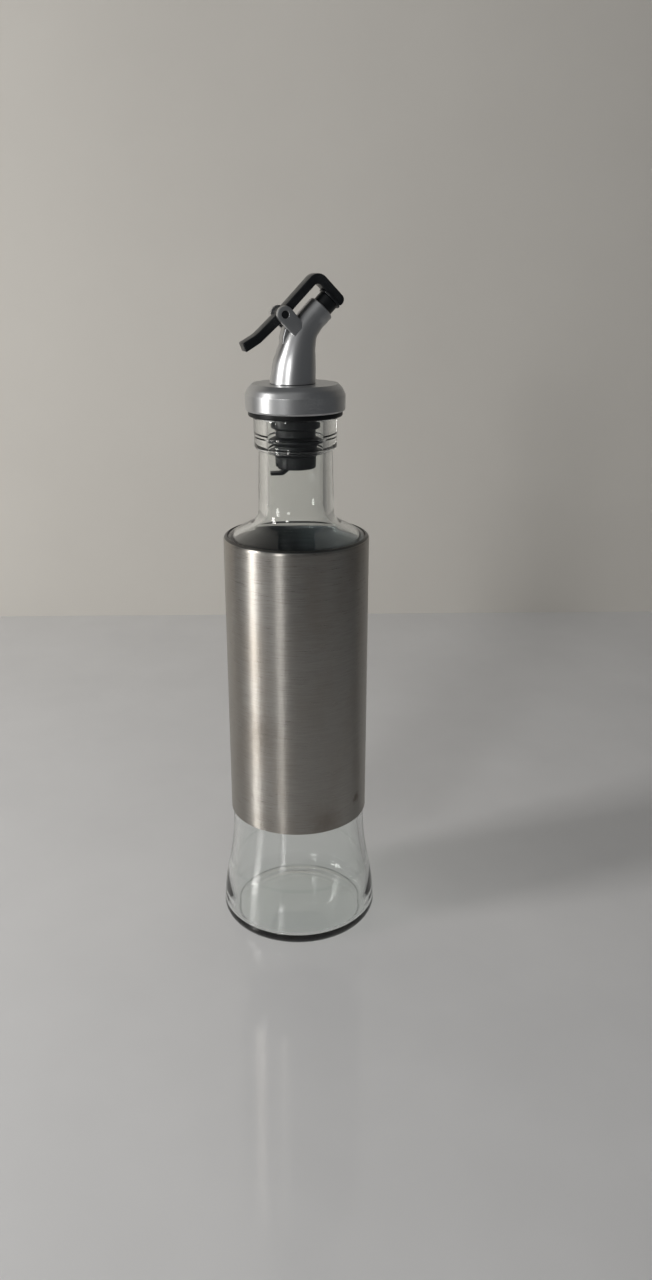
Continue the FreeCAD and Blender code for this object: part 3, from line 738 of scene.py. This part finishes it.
def make_stem():
    end = along(SPOUT_END, -SPOUT_DROP)
    sunk = along(SPOUT_END - NOZZLE_HOLE_DEPTH, -SPOUT_DROP)
    rings = stem_rings() + [
        (end.x, end.z, SPOUT_R - SPOUT_EDGE, SPOUT_LEAN),
        (end.x, end.z, NOZZLE_HOLE_R, SPOUT_LEAN),
        (sunk.x, sunk.z, NOZZLE_HOLE_R, SPOUT_LEAN),
    ]
    bm = bmesh.new()
    for i, (x, z, r, lean) in enumerate(rings):
        place = Matrix.Translation(Vector((x, 0, z)) * MM) @ Matrix.Rotation(lean, 4, "Y")
        bmesh.ops.create_circle(bm, cap_ends=i in (0, len(rings) - 1), segments=STEM_STEPS,
                                radius=r * MM, matrix=place)
    edges = bm.edges[:]
    for i in range(len(rings) - 1):
        bmesh.ops.bridge_loops(bm, edges=edges[STEM_STEPS * i:STEM_STEPS * (i + 2)])
    finish_silver(bm, "pourer_stem")


def make_collar():
    wall_top = COLLAR_Z + COLLAR_WALL_H
    bm = turned([
        (0, COLLAR_Z, 0),
        (COLLAR_R - COLLAR_FOOT_IN, COLLAR_Z, COLLAR_FOOT_EDGE_R),
        (COLLAR_R, COLLAR_Z + COLLAR_FOOT_H, COLLAR_FOOT_R),
        (COLLAR_R, wall_top, COLLAR_CREASE_R),
        ((COLLAR_R + COLLAR_TOP_R) / 2 + COLLAR_CROWN, (wall_top + COLLAR_TOP_Z) / 2 + COLLAR_CROWN,
         COLLAR_CROWN_R),
        (COLLAR_TOP_R, COLLAR_TOP_Z, COLLAR_TOP_EDGE_R),
        (0, COLLAR_TOP_Z, 0),
    ])
    finish_silver(bm, "pourer_collar")


def make_ear(name, side):
    """Ear with its pin hole: a ring of faces between outline and hole, thickened and bevelled."""
    foot, end_r = EAR_SHORT - SPOUT_DROP, EAR_R - ROUND_END
    outline = rounded([
        (EAR_R, EAR_R, end_r),
        (-EAR_R, EAR_R, end_r),
        (-EAR_R, foot, EAR_CORNER_R),
        (EAR_R - EAR_FOOT_CUT, foot, EAR_CORNER_R),
        (EAR_R - EAR_TAPER, foot + EAR_FOOT_CUT, EAR_CORNER_R),
        (EAR_R, EAR_TAPER_TOP, EAR_TAPER_R),
    ])
    out_y = side * SPOUT_R
    start = atan2(outline[0][1], outline[0][0])
    area = sum(a[0] * b[1] - b[0] * a[1] for a, b in zip(outline, outline[1:]))
    step = (1 if area > 0 else -1) * 2 * pi / len(outline)
    turns = [start + step * i for i in range(len(outline))]
    bm = bmesh.new()
    rim = loop_of(bm, [along(u, v, out_y) for u, v in outline])
    hole = loop_of(bm, [along(EAR_HOLE_R * cos(turn), EAR_HOLE_R * sin(turn), out_y) for turn in turns])
    thicken(bm, bmesh.ops.bridge_loops(bm, edges=rim + hole)["faces"], (0, -side * EAR_T, 0))
    round_edges(bm, rim, EAR_EDGE, EAR_EDGE_STEPS)
    round_edges(bm, hole, EAR_HOLE_EDGE, EAR_HOLE_STEPS)
    finish_silver(bm, name)


def make_web():
    """Upright web between the ears, hollowed round the hub and under the pressed tab."""
    foot_z = COLLAR_TOP_Z + WEB_FOOT_RISE
    pressed = SPOUT_LEAN + LEVER_TRAVEL
    under = TAB_GAP - LEVER_BOTTOM                   # web's top under the pressed tab, from the hinge
    line_x = HINGE[0] + under * sin(pressed)
    line_z = HINGE[2] - under * cos(pressed)
    back_top = line_z - (line_x - WEB_BACK_X) * tan(pressed)
    first = pressed - pi + atan2(under, sqrt(WEB_HUB_R ** 2 - under ** 2))
    back = along(WEB_BACK_U, SPOUT_R - SPOUT_DROP - WEB_SUNK)
    turns = [first + WEB_HUB_STEP * i for i in range(WEB_HUB_POINTS)]
    outline = [
        (WEB_BACK_X, foot_z),
        (WEB_BACK_X, back_top),
        *[(HINGE[0] + WEB_HUB_R * cos(turn), HINGE[2] + WEB_HUB_R * sin(turn)) for turn in turns],
        (back.x, back.z),
        (WEB_FRONT_X, HINGE[2] - WEB_FRONT_DROP),
        (WEB_FRONT_X, foot_z),
    ]
    half = EAR_IN_Y - WEB_SET_IN
    finish_silver(plate([(x, -half, z) for x, z in outline], (0, 2 * half, 0), WEB_EDGE), "pourer_web")


# ------------------------------------------------------------------ lever

LEVER_TOP = 1.95
LEVER_EDGE = 0.45
ARM_BEND_U, ARM_BEND_R = 3.0, 30.0           # bends each side of the hub
TAB_BEND_TOP_U, TAB_BEND_BOTTOM_U = -13.5, -14.5
TAB_BEND_RISE, TAB_BEND_R = 0.75, 14.0
TAB_END_U, TAB_END_RISE, TAB_END_SLANT, TAB_END_R = -20.6, 2.55, 0.75, 0.5
HOOK_T, HOOK_BELOW = 3.75, 4.55              # HOOK_BELOW reaches past the spout's axis
HOOK_OUT_R, HOOK_IN_R = 4.6, 1.8
HOOK_TIP_OUT_R, HOOK_TIP_IN_R = 2.4, 0.8
NOZZLE_OUT = 4.1                             # nozzle beyond the silver piece
SEAL_GAP = 0.15
SEAL_U = SPOUT_END + NOZZLE_OUT + SEAL_GAP   # face of the closed seal, along the spout
SEAL_R, SEAL_T, SEAL_EDGE_R = 5.2, 1.05, 0.2
SEAL_FACE_R, SEAL_LIP_R, SEAL_LIP_H = 4.2, 4.5, 0.25
SEAL_BACK_R, SEAL_BACK_H = 4.4, 1.3
SEAL_FINE_R = 0.1
HUB_R, HUB_EDGE = 2.7, 0.25
PIN_R, PIN_EDGE = 1.5, 0.2
ACROSS = (0, 1, 0)


def make_arm():
    """Arm, tab and hook in one bent plate."""
    hook_in = SEAL_U + SEAL_T
    hook_out, hook_foot = hook_in + HOOK_T, -SPOUT_DROP - HOOK_BELOW
    outline = rounded([
        (hook_out, LEVER_TOP, HOOK_OUT_R),
        (ARM_BEND_U, LEVER_TOP, ARM_BEND_R),
        (TAB_BEND_TOP_U, LEVER_TOP + TAB_BEND_RISE, TAB_BEND_R),
        (TAB_END_U + TAB_END_SLANT, LEVER_TOP + TAB_END_RISE, TAB_END_R),
        (TAB_END_U - TAB_END_SLANT, LEVER_BOTTOM + TAB_END_RISE, TAB_END_R),
        (TAB_BEND_BOTTOM_U, LEVER_BOTTOM + TAB_BEND_RISE, TAB_BEND_R),
        (-ARM_BEND_U, LEVER_BOTTOM, ARM_BEND_R),
        (hook_in, LEVER_BOTTOM, HOOK_IN_R),
        (hook_in, hook_foot, HOOK_TIP_IN_R),
        (hook_out, hook_foot, HOOK_TIP_OUT_R),
    ])
    places = [along(u, v, -LEVER_HALF_Y) for u, v in outline]
    finish_lever(plate(places, (0, 2 * LEVER_HALF_Y, 0), LEVER_EDGE), "lever_arm")


def make_seal():
    """Cap on the hook's inner face that covers the nozzle."""
    cap = turned([
        (0, 0, 0),
        (SEAL_FACE_R, 0, SEAL_FINE_R),
        (SEAL_LIP_R, SEAL_LIP_H, SEAL_FINE_R),
        (SEAL_R, SEAL_LIP_H, SEAL_LIP_H),
        (SEAL_R, SEAL_T, SEAL_EDGE_R),
        (SEAL_BACK_R, SEAL_BACK_H, SEAL_FINE_R),
        (0, SEAL_BACK_H, 0),
    ], SEAL_STEPS)
    spout_way = along(1, 0) - along(0, 0)
    finish_lever(placed(cap, spout_way, along(SEAL_U, -SPOUT_DROP)), "seal_cap")


def make_lever():
    make_arm()
    finish_lever(placed(bar(HUB_R, LEVER_HALF_Y, HUB_EDGE), ACROSS, HINGE), "lever_hub")
    finish_lever(placed(bar(PIN_R, SPOUT_R - PIN_EDGE, PIN_EDGE), ACROSS, HINGE), "lever_pin")
    make_seal()


# ------------------------------------------------------------------ assembly

def dress(node, material):
    """Gives a CAD node that shows as it is its finish."""
    mesh = frame["nodes"][node].data
    for i in range(len(mesh.materials)):
        mesh.materials[i] = material
    if len(mesh.materials) == 0:
        mesh.materials.append(material)


add_camera()
add_stage()
add_room()
add_lamps()
bpy.context.scene.view_settings.view_transform = "Standard"

SILVER = silver_coat()
BLACK = moulded_black("lever_plastic", (0.007, 0.008, 0.0095),
                      shine=0.42, rough_low=0.26, rough_high=0.40, dust=0.25)
make_bottle()
make_sleeve()
make_stem()
make_collar()
make_ear("ear_near", -1)
make_ear("ear_far", 1)
make_web()
make_lever()
dress("rubber_stopper", moulded_black("stopper_rubber", (0.004, 0.0045, 0.005),
                                      shine=0.22, rough_low=0.30, rough_high=0.5, dust=0.1))
dress("spout_nozzle", moulded_black("black_plastic", (0.006, 0.007, 0.008),
                                    shine=0.36, rough_low=0.26, rough_high=0.38, dust=0.1))
